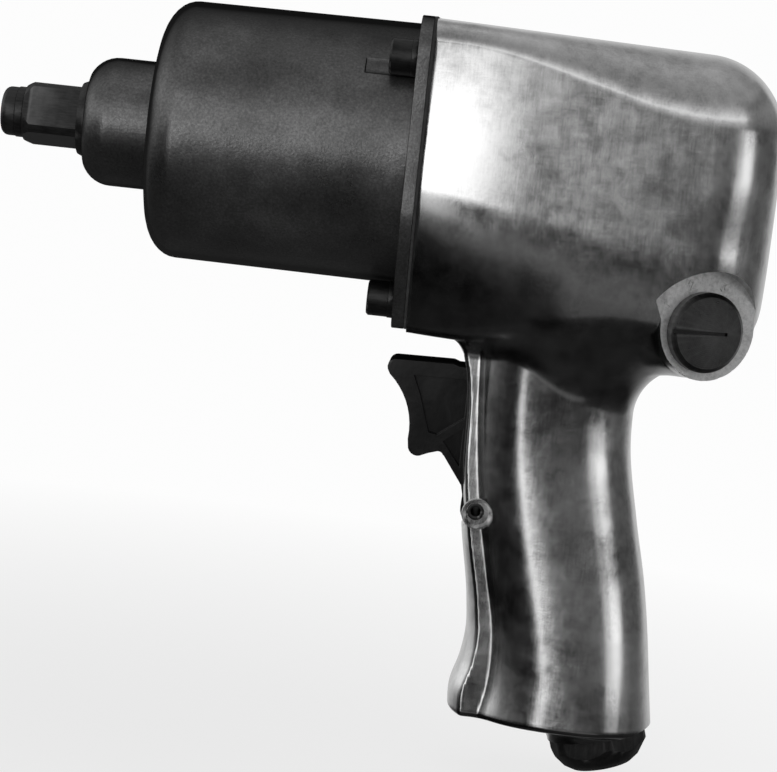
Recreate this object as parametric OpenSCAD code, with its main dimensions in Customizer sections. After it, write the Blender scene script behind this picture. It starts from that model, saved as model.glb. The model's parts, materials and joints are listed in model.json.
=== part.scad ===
// Pneumatic impact wrench with a half inch square drive, twin hammer
// mechanism and pistol handle. Millimetres.
// +X runs back along the drive axis and +Z is up. The regulator knob is on
// the -Y side. The origin is on the drive axis, at the shoulder behind the
// drive square.

/* [Drive square] */
// Across the flats of the drive square
square_af = 12.7; // [12.6:0.05:12.8]
// Radius over the rounded corners of the square
square_corner_r = 8; // [7.8:0.1:8.2]
// Length from the shoulder to the tip
square_l = 19; // [18:0.5:20]
// Angle that the square stands at when at rest
square_turn = 19; // [0:1:90]

/* [Hammer case] */
// Radius of the nose that holds the anvil bushing
nose_r = 15.5; // [15:0.1:16.5]
// Length of the nose ahead of the drum
nose_l = 18.7; // [18.2:0.1:19]
// Radius of the drum, at its front
drum_r = 31; // [30.5:0.1:31.5]
// Growth of the drum's radius towards the back, for casting draft
drum_draft = 0.4; // [0:0.1:0.5]
// Wall of the drum
case_wall = 4; // [3.5:0.1:4.2]
// Rear face of the case, where it meets the gasket
case_l = 83.5; // [83:0.1:84]
// Thickness of the mounting flange
flange_t = 3; // [2.5:0.1:4]

/* [Motor housing] */
// Half width of the housing
body_half_w = 33; // [32.5:0.1:34]
// Top of the housing at the flange
body_top = 33; // [32.6:0.1:34]
// Underside of the housing at the flange
body_bottom = -41; // [-42:0.1:-40.8]
// Rearmost point of the housing
body_rear = 167.5; // [167:0.1:168.5]
// Radius of the motor bore
motor_bore_r = 27.5; // [27.4:0.1:27.6]

/* [Handle] */
// Half width of the handle
grip_half_w = 18; // [17.5:0.1:19]
// Half width of the ridge down the front of the handle
ridge_half_w = 11; // [10.8:0.1:11.4]
// Tilt of the air inlet away from vertical
inlet_tilt = 16.5; // [16.2:0.1:16.8]
// Radius of the inlet boss and of the bushing's chamfered hexagon
inlet_boss_r = 12.1; // [12:0.1:12.4]

/* [Trigger] */
// Half width of the trigger
trigger_half_w = 7.2; // [6.5:0.1:7.2]
// Radius of the trigger's pivot eye
trigger_eye_r = 3.8; // [3.6:0.1:3.9]
// Outside radius of the hollow trigger pin
trigger_pin_r = 2; // [1.8:0.1:2]

/* [Regulator] */
// Radius of the regulator knob
knob_r = 9.4; // [9:0.1:9.8]
// Radius of the flat seat round the knob
knob_seat_r = 14; // [13.5:0.1:14]

/* [Hidden] */
$fn = 64;

// Clearance of a running or location fit, on the radius
fit = 0.03;
// Overrun of a cut past the face it opens
cut = 1;

// Hammer mechanism
shaft_r = 9.5;
bushing_wall = 2;
nose_front = 1.2;
case_bore_front = 20.5;
case_bore_chamfer = 2.5;
frame_r = 25.5;
frame_front = 22.4;
frame_rear = 70;
frame_front_disc = 6.2;
frame_rear_disc = 8;
web_in = 22.3;
web_half_h = 9;
hammer_pin_r = 3.5;
hammer_pin_at = 20.7;
hammer_r = 24;
hammer_half_w = 20;
hammer_l = 15.6;
hammer_bore_r = 14.2;
hammer_slot_half_w = 6.5;
front_hammer_x = 29;
rear_hammer_x = 45.6;
jaw_r = 12.3;
jaw_half_w = 6;
pilot_r = 8;

// Case screws, M5 socket head: place across and up the flange
screw_r = 2.5;
screw_head_r = 4.25;
screw_head_l = 5;
washer_t = 1.4;
screw_places = [[-27, 22.8], [27, 22.8], [-13, -34.4], [13, -34.4]];
scallop_r = 4.8;
scallop_l = 12;
gasket_t = 0.6;
housing_front = case_l + gasket_t;

// Air motor
motor_fit = 0.06;
liner_r = motor_bore_r - motor_fit;
liner_front = 92;
liner_rear = 138;
rotor_r = 20;
chamber_r = 22.5;
chamber_drop = 2.3;
vane_count = 6;
vane_t = 1.7;
vane_depth = 7.6;
rear_bore_r = 20.5;
motor_bore_end = 145;
rear_bore_end = 155.7;
end_plate_rear = 153.2;

// Reverse valve below the motor: its axis leaves the side turned to the rear
seat_x = 153.1;
seat_y = -26;
valve_z = -32.9;
valve_turn = 25;
valve_r = 5.4;
valve_bushing_r = 6.8;
valve_depth = 18;
valve_boss_r = 10.2;
knob_lift = 0.15;
knob_l = 3.15;
hub_r = 6.5;
hub_l = 5;
stem_r = 3.5;
pin_in = 1.6;
detent_in = 16.2;

// Trigger, throttle and inlet
trigger_x = 105.3;
trigger_z = -83.2;
pin_half_l = 10.5;
plunger_z = -62;
plunger_r = 2.2;
slot_back = 109.6;
slot_top = -46;
slot_foot = -87.2;
mouth_x = 140.6;
mouth_z = -135.3;
passage_r = 6.5;
thread_r = 10;
pipe_bore_r = 5.6;
inlet_way_r = 4.6;
handle_foot_z = -133.5;
hex_corner_r = 12.7;
hex_turn = 41.6;

// Exhaust: two ducts down beside the throttle to a chamber in the handle
duct_y = 11.3;
duct_r = 2.4;
chamber_bore_r = 6;
chamber_top = [114, 0, -98];
chamber_foot = [117, 0, -140];

// ---------------------------------------------------------------- helpers

// Turned shape: profile points are [x, radius]
module turned(profile) {
    rotate([0, 90, 0])
        rotate_extrude($fn = 96)
            polygon([for (p = profile) [p[1], p[0]]]);
}

// Round bar or hole along X
module bar_x(x0, x1, r, y = 0, z = 0) {
    translate([x0, y, z])
        rotate([0, 90, 0])
            cylinder(h = x1 - x0, r = r);
}

// Round bar or hole along Y
module bar_y(y0, y1, r, x = 0, z = 0) {
    translate([x, y0, z])
        rotate([-90, 0, 0])
            cylinder(h = y1 - y0, r = r);
}

// Round bar or hole along Z
module bar_z(z0, z1, r, x = 0, y = 0) {
    translate([x, y, z0])
        cylinder(h = z1 - z0, r = r);
}

// Tube along X
module tube_x(x0, x1, r_in, r_out) {
    difference() {
        bar_x(x0, x1, r_out);
        bar_x(x0 - cut, x1 + cut, r_in);
    }
}

// Round bar or hole from one point to another
module bar_between(a, b, r) {
    run = b - a;
    translate(a)
        rotate([0, acos(run[2] / norm(run)), atan2(run[1], run[0])])
            cylinder(h = norm(run), r = r);
}

// Outline drawn in X and Z, given thickness in Y about the middle plane
module slab_y(half) {
    rotate([90, 0, 0])
        linear_extrude(height = 2 * half, center = true)
            children();
}

// The inlet's own frame: +Z runs up the inlet, zero at the mouth
module at_inlet() {
    translate([mouth_x, 0, mouth_z])
        rotate([0, -inlet_tilt, 0])
            children();
}

// The valve's own frame: +Z points out of the knob, zero at the seat, +Y is up
module at_valve() {
    translate([seat_x, seat_y, valve_z])
        rotate([90, 0, valve_turn])
            children();
}

// Points of an arc in a plane
function arc(cx, cy, r, a0, a1, n) =
    [for (i = [0:n]) let (a = a0 + (a1 - a0) * i / n) [cx + r * cos(a), cy + r * sin(a)]];

// Ring of round section, its axis along Z
module o_ring(ring_r, section_r) {
    rotate_extrude($fn = 48)
        translate([ring_r, 0])
            circle(r = section_r, $fn = 24);
}

// Coil spring along Z: a closed mesh swept round the helix
module coil(coil_r, wire_r, length, turns) {
    sides = 6;
    per_turn = 14;
    steps = turns * per_turn;
    points = [
        for (i = [0:steps], j = [0:sides - 1])
            let (turn = 360 * i / per_turn, side = 360 * j / sides)
            let (r = coil_r + wire_r * cos(side))
            [r * cos(turn), r * sin(turn), length * i / steps + wire_r * sin(side)]
    ];
    walls = [
        for (i = [0:steps - 1], j = [0:sides - 1])
            let (k = (j + 1) % sides, a = i * sides, b = a + sides)
            [a + j, b + j, b + k, a + k]
    ];
    start = [for (j = [0:sides - 1]) j];
    finish = [for (j = [sides - 1:-1:0]) steps * sides + j];
    polyhedron(points = points, faces = concat(walls, [start, finish]), convexity = 8);
}

// ------------------------------------------------------------------ anvil

tip_flange = 15.5;
ring_groove = 13.5;
tip_r = 5.9;

module drive_square() {
    intersection() {
        rotate([-square_turn, 0, 0])
            translate([-ring_groove, -square_af / 2, -square_af / 2])
                cube([ring_groove + 0.4, square_af, square_af]);
        turned([
            [-ring_groove, 0], [-ring_groove, 6.6], [-11.5, square_corner_r],
            [0.4, square_corner_r], [0.4, 0]
        ]);
    }
}

module anvil() {
    color("#2b2b2c") {
        turned(concat(
            [[-square_l, 0]],
            [for (p = arc(0, 0, 1, 180, 90, 6))
                [-square_l + 1.8 + 1.8 * p[0], tip_r - 1.8 + 1.8 * p[1]]],
            [[-tip_flange, tip_r], [-tip_flange, 3.9], [-ring_groove, 3.9], [-ring_groove, 0]]
        ));
        drive_square();
        turned([
            [0, 0], [0, shaft_r - 0.9], [2, shaft_r], [20.6, shaft_r], [20.6, 12], [28, 12],
            [28, shaft_r], [61.5, shaft_r], [61.5, pilot_r], [67.6, pilot_r], [67.6, 0]
        ]);
        anvil_jaw(front_hammer_x, 1);
        anvil_jaw(rear_hammer_x, -1);
    }
}

// Striking jaw that stands out from the anvil under one hammer
module anvil_jaw(x, side) {
    intersection() {
        bar_x(x + 0.3, x + hammer_l - 0.3, jaw_r);
        translate([x, -jaw_half_w, side > 0 ? 0 : -jaw_r])
            cube([hammer_l, 2 * jaw_half_w, jaw_r]);
    }
}

module friction_ring() {
    color("#3a3a3c")
        difference() {
            tube_x(-tip_flange + 0.05, -ring_groove - 0.05, 5.05, 6.1);
            translate([-tip_flange, -0.6, -7])
                cube([2, 1.2, 7]);
        }
}

module friction_ring_backing() {
    color("#161616")
        translate([-(tip_flange + ring_groove) / 2, 0, 0])
            rotate([0, 90, 0])
                o_ring(4.47, 0.5);
}

// ------------------------------------------------------------ hammer case

// Plate between the case and the housing: four lobes, one at each screw
module flange_plate(x0, x1, corner_r) {
    hull() {
        for (side = [-1, 1]) {
            bar_x(x0, x1, corner_r, side * (body_half_w - corner_r), body_top - corner_r, $fn = 48);
            bar_x(x0, x1, 12, side * (body_half_w - 12), -12, $fn = 48);
            bar_x(x0, x1, 8, side * 13.5, body_bottom + 8, $fn = 48);
        }
    }
}

module at_screws(x) {
    for (place = screw_places)
        translate([x, place[0], place[1]])
            rotate([0, 90, 0])
                children();
}

module hammer_case() {
    drum_rear_r = drum_r + drum_draft;
    nose_round = 7.2;
    drum_round_x = 7.5;
    drum_round_r = 10;
    bore_r = drum_r - case_wall;
    color("#1c1c1d")
        difference() {
            union() {
                turned(concat(
                    [[nose_front, 0], [nose_front, nose_r - nose_round + 1]],
                    [for (p = arc(nose_front + nose_round, nose_r - nose_round, nose_round, 165, 90, 8)) p],
                    [[nose_l, nose_r]],
                    [for (a = [0:10:90])
                        [nose_l + drum_round_x * (1 - cos(a)),
                            drum_r - drum_round_r * (1 - sin(a))]],
                    [[case_l - flange_t, drum_rear_r], [case_l - flange_t, 0]]
                ));
                flange_plate(case_l - flange_t, case_l, 10);
            }
            bar_x(-cut, case_bore_front + cut, shaft_r + bushing_wall);
            turned([
                [case_bore_front, 0], [case_bore_front, bore_r - case_bore_chamfer],
                [case_bore_front + case_bore_chamfer, bore_r], [case_l + cut, bore_r],
                [case_l + cut, 0]
            ]);
            at_screws(case_l - flange_t - cut)
                cylinder(h = flange_t + 2 * cut, r = screw_r + 0.25);
            // Scallops in the drum that make room for the screw heads
            at_screws(case_l - flange_t - scallop_l)
                cylinder(h = scallop_l, r = scallop_r);
        }
}

module anvil_bushing() {
    color("#8c6a3a")
        tube_x(2.4, 19.5, shaft_r + fit, shaft_r + bushing_wall - fit);
}

module thrust_washer() {
    color("#77787a")
        tube_x(20.55, 22.2, 13, 24.2);
}

module case_screws() {
    head_x = case_l - flange_t - washer_t - screw_head_l;
    color("#151515")
        at_screws(head_x)
            difference() {
                union() {
                    cylinder(h = 0.5, r1 = screw_head_r - 0.5, r2 = screw_head_r);
                    translate([0, 0, 0.5])
                        cylinder(h = screw_head_l - 0.5, r = screw_head_r);
                    translate([0, 0, screw_head_l])
                        cylinder(h = 20, r = screw_r);
                }
                translate([0, 0, -cut])
                    cylinder(h = 3 + cut, r = 2.3, $fn = 6);
            }
}

module case_lock_washers() {
    color("#1e1e1e")
        at_screws(case_l - flange_t - washer_t + 0.02)
            difference() {
                cylinder(h = washer_t - 0.04, r = 4.4);
                translate([0, 0, -cut])
                    cylinder(h = washer_t + 2 * cut, r = screw_r + 0.1);
                translate([0, -0.3, -cut])
                    cube([6, 0.6, washer_t + 2 * cut]);
            }
}

module case_gasket() {
    color("#4a4038")
        difference() {
            flange_plate(case_l + 0.02, housing_front - 0.02, 10);
            bar_x(case_l - cut, housing_front + cut, motor_bore_r);
            at_screws(case_l - cut)
                cylinder(h = gasket_t + 2 * cut, r = screw_r + 0.25);
        }
}

// -------------------------------------------------------- hammer mechanism

module spline(x0, x1, grow) {
    union() {
        bar_x(x0, x1, 6.2 + grow);
        for (i = [0:3])
            rotate([i * 45, 0, 0])
                translate([x0, -1.2 - grow, -7.6 - grow])
                    cube([x1 - x0, 2.4 + 2 * grow, 15.2 + 2 * grow]);
    }
}

module hammer_frame() {
    front_face = frame_front + frame_front_disc;
    rear_face = frame_rear - frame_rear_disc;
    color("#6f7072")
        difference() {
            union() {
                bar_x(frame_front, front_face, frame_r);
                bar_x(rear_face, frame_rear, frame_r);
                bar_x(frame_rear, frame_rear + 4, 12);
                intersection() {
                    bar_x(frame_front, frame_rear, frame_r);
                    for (side = [-1, 1])
                        translate([frame_front, side > 0 ? web_in : -frame_r, -web_half_h])
                            cube([frame_rear - frame_front, frame_r - web_in, 2 * web_half_h]);
                }
            }
            bar_x(frame_front - cut, front_face + cut, jaw_r);
            bar_x(rear_face - cut, rear_face + 6, pilot_r + fit);
            spline(rear_face + 5, frame_rear + 4 + cut, fit);
            for (side = [-1, 1])
                bar_x(frame_front - cut, frame_rear - 2, hammer_pin_r + fit, 0, side * hammer_pin_at);
        }
}

module hammer_pins() {
    color("#8d8e90")
        for (side = [-1, 1])
            bar_x(frame_front + 0.2, frame_rear - 2.1, hammer_pin_r, 0, side * hammer_pin_at);
}

// Hammer that swings on the pin above (side 1) or below (side -1)
module hammer(x, side) {
    lug_r = 11.6;
    lug_half_h = 2.6;
    difference() {
        intersection() {
            bar_x(x, x + hammer_l, hammer_r);
            translate([x, -hammer_half_w, -hammer_r])
                cube([hammer_l, 2 * hammer_half_w, 2 * hammer_r]);
        }
        difference() {
            bar_x(x - cut, x + hammer_l + cut, hammer_bore_r);
            for (hand = [-1, 1])
                translate([x - cut, hand > 0 ? lug_r : -hammer_bore_r - 1, -lug_half_h])
                    cube([hammer_l + 2 * cut, hammer_bore_r + 1 - lug_r, 2 * lug_half_h]);
        }
        bar_x(x - cut, x + hammer_l + cut, hammer_pin_r + 0.06, 0, side * hammer_pin_at);
        translate([x - cut, -hammer_slot_half_w, side > 0 ? -hammer_r - 2 : 17])
            cube([hammer_l + 2 * cut, 2 * hammer_slot_half_w, hammer_r + 2 - 17]);
    }
}

module front_hammer() {
    color("#7b7c7e")
        hammer(front_hammer_x, 1);
}

module rear_hammer() {
    color("#6c6d70")
        hammer(rear_hammer_x, -1);
}

// --------------------------------------------------------------- bearings

// Ball bearing sizes: [bore, outer, inner race top, outer race floor, pitch, ball, half width]
FRONT_BEARING = [8.5, 17.5, 11.3, 14.7, 13, 2.6, 5];
REAR_BEARING = [7.5, 16, 10.2, 13.3, 11.75, 2.38, 4.5];
front_bearing_x = 83.5;
rear_bearing_x = 148.7;
groove_gap = 0.06;

module race(x, b, r_in, r_out) {
    difference() {
        tube_x(x - b[6], x + b[6], r_in, r_out);
        translate([x, 0, 0])
            rotate([0, 90, 0])
                rotate_extrude($fn = 96)
                    translate([b[4], 0])
                        circle(r = b[5] + groove_gap, $fn = 32);
    }
}

module outer_race(x, b) { race(x, b, b[3], b[1]); }
module inner_race(x, b) { race(x, b, b[0] + fit, b[2]); }

module balls(x, b, count) {
    for (i = [0:count - 1])
        rotate([360 * i / count, 0, 0])
            translate([x, 0, b[4]])
                sphere(r = b[5], $fn = 32);
}

module cage(x, b, count) {
    difference() {
        tube_x(x - b[6] + 1, x + b[6] - 1, b[4] - 0.6, b[4] + 0.6);
        for (i = [0:count - 1])
            rotate([360 * i / count, 0, 0])
                bar_z(b[4] - 3, b[4] + 3, b[5] + 0.1, x);
    }
}

module front_bearing_outer_race() { color("#9a9b9d") outer_race(front_bearing_x, FRONT_BEARING); }
module front_bearing_inner_race() { color("#9a9b9d") inner_race(front_bearing_x, FRONT_BEARING); }
module front_bearing_balls() { color("#c8c8ca") balls(front_bearing_x, FRONT_BEARING, 9); }
module front_bearing_cage() { color("#a98a4c") cage(front_bearing_x, FRONT_BEARING, 9); }
module rear_bearing_outer_race() { color("#9a9b9d") outer_race(rear_bearing_x, REAR_BEARING); }
module rear_bearing_inner_race() { color("#9a9b9d") inner_race(rear_bearing_x, REAR_BEARING); }
module rear_bearing_balls() { color("#c8c8ca") balls(rear_bearing_x, REAR_BEARING, 9); }
module rear_bearing_cage() { color("#a98a4c") cage(rear_bearing_x, REAR_BEARING, 9); }

// -------------------------------------------------------------- air motor

module front_end_plate() {
    color("#85868a")
        difference() {
            union() {
                bar_x(housing_front + 0.1, liner_front - 0.1, liner_r);
                bar_x(77.5, housing_front + 0.2, 21);
            }
            bar_x(77.5 - cut, 88.55, FRONT_BEARING[1] + fit);
            bar_x(88, liner_front + cut, 9.5);
            bar_x(liner_front - 4, liner_front + cut, 1.5, 0, -25);
        }
}

module rear_end_plate() {
    color("#85868a")
        difference() {
            union() {
                bar_x(liner_rear + 0.1, motor_bore_end - 0.3, liner_r);
                bar_x(motor_bore_end - 1, end_plate_rear, 19);
            }
            bar_x(rear_bearing_x - REAR_BEARING[6] - 0.05, end_plate_rear + cut, REAR_BEARING[1] + fit);
            bar_x(liner_rear - cut, rear_bearing_x, 9);
            bar_x(liner_rear - cut, liner_rear + 4, 1.5, 0, -25);
        }
}

module motor_cylinder() {
    color("#8f9094")
        difference() {
            bar_x(liner_front, liner_rear, liner_r);
            bar_x(liner_front - cut, liner_rear + cut, chamber_r, 0, -chamber_drop);
            bar_x(liner_front - cut, liner_front + 4, 1.5, 0, 25);
            bar_x(liner_rear - 4, liner_rear + cut, 1.5, 0, 25);
            for (x = [104, 116, 128], side = [-1, 1])
                translate([x, 0, 0])
                    rotate([side * 35, 0, 0])
                        bar_z(-motor_bore_r - cut, -15, 2.5);
        }
}

module cylinder_dowel() {
    color("#a5a6a8") {
        bar_x(liner_front + 0.1, liner_front + 3.9, 1.4, 0, 25);
        bar_x(liner_rear - 3.9, liner_rear - 0.1, 1.4, 0, 25);
    }
}

module rotor() {
    color("#5f6062")
        difference() {
            union() {
                spline(66.8 + 1.4, 77, 0);
                bar_x(77, liner_front + 0.4, FRONT_BEARING[0]);
                bar_x(liner_front + 0.2, liner_rear - 0.2, rotor_r);
                bar_x(liner_rear - 0.4, end_plate_rear, REAR_BEARING[0]);
            }
            for (i = [0:vane_count - 1])
                rotate([360 * i / vane_count + 30, 0, 0])
                    translate([liner_front, -vane_t / 2 - 0.05, rotor_r - vane_depth - 0.4])
                        cube([liner_rear - liner_front, vane_t + 0.1, vane_depth + 2]);
        }
}

module vanes() {
    color("#6b4a2c")
        for (i = [0:vane_count - 1])
            rotate([360 * i / vane_count + 30, 0, 0])
                translate([liner_front + 0.3, -vane_t / 2, rotor_r - vane_depth - 0.3])
                    cube([liner_rear - liner_front - 0.6, vane_t, vane_depth]);
}

module motor_clamp_spring() {
    color("#707174")
        translate([end_plate_rear, 0, 0])
            turned([[0.2, 18.6], [1, 18.6], [2.4, 10], [1.6, 10]]);
}

// ---------------------------------------------------------- motor housing

// Level slice of the handle: rounded towards the front and the back
module grip_slice(z, front, back, half_w) {
    mid = (front + back) / 2;
    half_d = (back - front) / 2;
    squareness = 2.5;
    translate([0, 0, z])
        linear_extrude(height = 0.5)
            polygon([for (i = [0:31])
                let (a = 360 * i / 32)
                [mid + half_d * sign(cos(a)) * pow(abs(cos(a)), 2 / squareness),
                    half_w * sign(sin(a)) * pow(abs(sin(a)), 2 / squareness)]]);
}

// Slices from the neck down to the foot: height, front, back, half width
GRIP = [
    [-39, 98, 150, 21],
    [-50, 102, 142.8, grip_half_w + 1],
    [-64, 102.4, 141, grip_half_w],
    [-98, 107.6, 148.4, grip_half_w + 0.5],
    [-116, 111, 151.2, grip_half_w + 1],
    [handle_foot_z, 108.6, 152.2, grip_half_w + 1.5]
];

module grip_stretch(i) {
    upper = GRIP[i];
    lower = GRIP[i + 1];
    hull() {
        grip_slice(upper[0], upper[1], upper[2], upper[3]);
        grip_slice(lower[0], lower[1], lower[2], lower[3]);
    }
}

// Side view of the ridge down the front of the handle
function ridge_outline() = [
    [97.3, -40], [97.6, -45], [99.6, -49.6], [100.8, -57], [101.1, -71.7], [101.6, -79.1],
    [104.4, -98.6], [105.8, -105.8], [106.3, -112], [105.9, -120], [103.8, -128],
    [103.7, -130.6], [105.4, handle_foot_z], [118, handle_foot_z], [118, -112],
    [111, -84], [111, -40]
];

module body_shell() {
    hull() {
        for (side = [-1, 1]) {
            bar_x(housing_front, housing_front + 1, 10,
                side * (body_half_w - 10), body_top - 10, $fn = 32);
            bar_x(housing_front, housing_front + 1, 12, side * (body_half_w - 12), -12, $fn = 32);
            bar_x(housing_front, housing_front + 1, 8, side * 13.5, body_bottom + 8, $fn = 32);
            translate([body_rear - 17, side * 16, body_top - 19.1])
                sphere(r = 17, $fn = 32);
            translate([body_rear - 14, side * 17, body_bottom + 11.4])
                sphere(r = 14, $fn = 32);
        }
    }
}

module motor_housing() {
    color("#b9bbbe")
        difference() {
            union() {
                body_shell();
                grip_stretch(0);
                grip_stretch(1);
                grip_stretch(2);
                grip_stretch(3);
                grip_stretch(4);
                slab_y(ridge_half_w)
                    polygon(ridge_outline());
                at_inlet()
                    bar_z(-cut, 24, inlet_boss_r);
                at_valve()
                    bar_z(-14, cut, valve_boss_r);
            }
            housing_trims();
            housing_motor_bores();
            housing_valve_bores();
            housing_handle_bores();
        }
}

// Cuts that shape the outside
module housing_trims() {
    // The inlet boss is squared off at the mouth
    at_inlet()
        translate([-13, -30, -12])
            cube([40, 60, 12]);
    // Flat seat for the knob
    at_valve()
        bar_z(0, 16, knob_seat_r);
    // Slot for the trigger
    translate([90, -trigger_half_w - 0.25, slot_foot])
        cube([slot_back - 90, 2 * trigger_half_w + 0.5, slot_top - slot_foot]);
}

module housing_motor_bores() {
    bar_x(housing_front - cut, motor_bore_end, motor_bore_r);
    bar_x(motor_bore_end - cut, rear_bore_end, rear_bore_r);
    at_screws(housing_front - cut)
        cylinder(h = 17, r = screw_r + 0.03);
}

module housing_valve_bores() {
    at_valve()
        bar_z(-valve_depth, cut, valve_bushing_r + fit);
    // Feeds from the valve to the near side and the far side of the motor
    bar_between([148, -15, valve_z], [128, -15.8, -22], 1.6);
    bar_between([149.7, -18.7, -34], [130.6, 16.2, -30.4], 1.6);
    bar_between([131.4, 15.4, -32], [128, 15.8, -22], 1.9);
}

module housing_handle_bores() {
    // Inlet thread and air passage, on the inlet's tilted axis
    at_inlet() {
        bar_z(-cut, 14.5, thread_r + fit);
        bar_z(14, 82, passage_r);
        bar_z(14, 23, 8.5);
    }
    // Air passage from the throttle up to the reverse valve
    bar_between([121, 0, -61], [147.5, -14, -37], 3.5);
    // Exhaust ducts, the hole that joins them and the muffler's chamber
    for (side = [-1, 1])
        bar_between([115.5, side * duct_y, -101], [119, side * duct_y, -22], duct_r);
    bar_y(-duct_y - 0.6, duct_y + 0.6, duct_r - 0.5, 115.9, -99);
    bar_between(chamber_top, chamber_foot, chamber_bore_r);
    // Trigger pin, its spot faces, and the plunger bushing
    bar_y(-30, 30, trigger_pin_r + fit, trigger_x, trigger_z);
    for (side = [0, 1])
        mirror([0, side, 0])
            bar_y(pin_half_l + 0.1, 26, 4, trigger_x, trigger_z);
    bar_x(slot_back - cut, 120, 4 + fit, 0, plunger_z);
}

// -------------------------------------------------- regulator and reverse

module regulator_knob() {
    top = knob_lift + knob_l;
    chamfer = 1;
    groove_w = 0.8;
    groove_end = 4.8;
    color("#1a1a1b")
        at_valve()
            difference() {
                rotate_extrude($fn = 96)
                    polygon([[0, -hub_l], [hub_r, -hub_l], [hub_r, -hub_l + 0.4],
                        [hub_r - 1, -hub_l + 0.4], [hub_r - 1, -hub_l + 2.1],
                        [hub_r, -hub_l + 2.1], [hub_r, knob_lift], [knob_r, knob_lift],
                        [knob_r, top - chamfer], [knob_r - chamfer, top], [0, top]]);
                bar_z(-hub_l - cut, 0.2, stem_r + fit);
                bar_x(-hub_r - cut, hub_r + cut, 1.03, 0, -pin_in);
                // Pointer line across the face
                translate([-knob_r - cut, -groove_w / 2, top - 0.6])
                    cube([knob_r + cut + groove_end, groove_w, 0.6 + cut]);
            }
}

module reverse_valve() {
    color("#5b5c5e")
        at_valve()
            difference() {
                union() {
                    bar_z(-hub_l - 0.3, 0.1, stem_r);
                    bar_z(-valve_depth + 0.3, -hub_l - 0.2, valve_r - 0.04);
                }
                // Ports that steer the air one way round or the other
                for (z = [-13.6, -9.6])
                    translate([1.5, -8, z])
                        cube([8, 16, 3]);
                bar_y(-8, 8, 1.6, 0, -detent_in);
                bar_x(-8, 8, 1.03, 0, -pin_in);
            }
}

module valve_roll_pin() {
    color("#3c3c3e")
        at_valve()
            bar_x(-hub_r + 0.2, hub_r - 0.2, 1, 0, -pin_in);
}

module valve_bushing() {
    color("#8c6a3a")
        at_valve()
            difference() {
                bar_z(-valve_depth + 0.1, -hub_l - 0.1, valve_bushing_r);
                bar_z(-valve_depth - cut, -hub_l + cut, valve_r);
                for (z = [-12.1, -8.1])
                    bar_y(0, 12, 1.5, 0, z);
                bar_x(-12, 0, 2, 0, -10);
            }
}

module valve_o_ring() {
    color("#121212")
        at_valve()
            translate([0, 0, -hub_l + 1.25])
                o_ring(6.15, 0.65);
}

module detent_ball() {
    color("#c8c8ca")
        at_valve()
            translate([0, valve_r - 1.62, -detent_in])
                sphere(r = 1.5, $fn = 32);
}

module detent_spring() {
    color("#8a8b8d")
        at_valve()
            translate([0, -valve_r + 0.6, -detent_in])
                rotate([-90, 0, 0])
                    coil(1.15, 0.25, 6.8, 6);
}

// ---------------------------------------------------- trigger and throttle

// Side view of the trigger: top with a step, pivot eye, tail, chin and finger curve
function trigger_outline() = concat(
    arc(82.3, -50.9, 1.9, 200, 90, 5),
    [[96.1, -48.7], [97.6, -49.2]],
    arc(100, -53.2, 4, 90, 0, 4),
    [[105, -62], [106.5, -78]],
    arc(trigger_x, trigger_z, trigger_eye_r, 72, -200, 18),
    [[101.6, -79.8], [101.1, -77.7], [96.1, -70.9]],
    arc(94.8, -71.4, 1.3, 20, 100, 3),
    [[92.4, -70.8]],
    arc(89.7, -69.4, 2.4, -55, -180, 7),
    arc(69.6, -66, 17.6, -6, 49, 9)
);

// Hollow in each side of the trigger, crossed by one rib
module trigger_hollow() {
    polygon([[87, -52.4], [100.2, -52.2], [100.2, -61.5], [94, -66.2], [91.9, -65.8], [90.5, -61.5], [89, -57]]);
    polygon([[95.6, -67.6], [100.2, -64.1], [100.2, -73.4]]);
}

module trigger() {
    hollow_depth = 1.8;
    color("#111112")
        difference() {
            slab_y(trigger_half_w)
                polygon(trigger_outline());
            for (side = [-1, 1])
                translate([0, side * trigger_half_w, 0])
                    slab_y(hollow_depth)
                        trigger_hollow();
            bar_y(-10, 10, trigger_pin_r + 0.05, trigger_x, trigger_z);
        }
}

module trigger_pin() {
    color("#4a4a4c")
        difference() {
            bar_y(-pin_half_l, pin_half_l, trigger_pin_r, trigger_x, trigger_z);
            bar_y(-pin_half_l - cut, pin_half_l + cut, 1.15, trigger_x, trigger_z);
        }
}

module throttle_plunger() {
    color("#9b8a5a") {
        bar_x(105.4, 106.5, 3.2, 0, plunger_z);
        bar_x(106.4, 117.2, plunger_r, 0, plunger_z);
    }
}

module plunger_bushing() {
    color("#a08248")
        difference() {
            bar_x(slot_back, 115, 4, 0, plunger_z);
            bar_x(slot_back - cut, 117, plunger_r + 0.05, 0, plunger_z);
            bar_x(111.6, 113.6, 3.4, 0, plunger_z);
        }
}

module plunger_o_ring() {
    color("#121212")
        translate([112.6, 0, plunger_z])
            rotate([0, 90, 0])
                o_ring(2.82, 0.5);
}

VALVE_LIFT = 40;
VALVE_T = 4;
VALVE_R = 5.6;

module throttle_valve() {
    color("#9a7f45")
        at_inlet() {
            bar_z(VALVE_LIFT, VALVE_LIFT + VALVE_T, VALVE_R);
            bar_z(VALVE_LIFT - 5, VALVE_LIFT + 0.1, 2.6);
            bar_z(VALVE_LIFT + VALVE_T - 0.1, 77.5, 1.5);
        }
}

module throttle_valve_seat() {
    color("#8c6a3a")
        at_inlet()
            difference() {
                bar_z(VALVE_LIFT + VALVE_T + 0.1, VALVE_LIFT + VALVE_T + 5, passage_r - fit);
                bar_z(VALVE_LIFT, VALVE_LIFT + 12, 4.2);
            }
}

module throttle_valve_spring() {
    color("#8a8b8d")
        at_inlet()
            translate([0, 0, 23])
                coil(4.2, 0.45, 15.4, 6);
}

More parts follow.
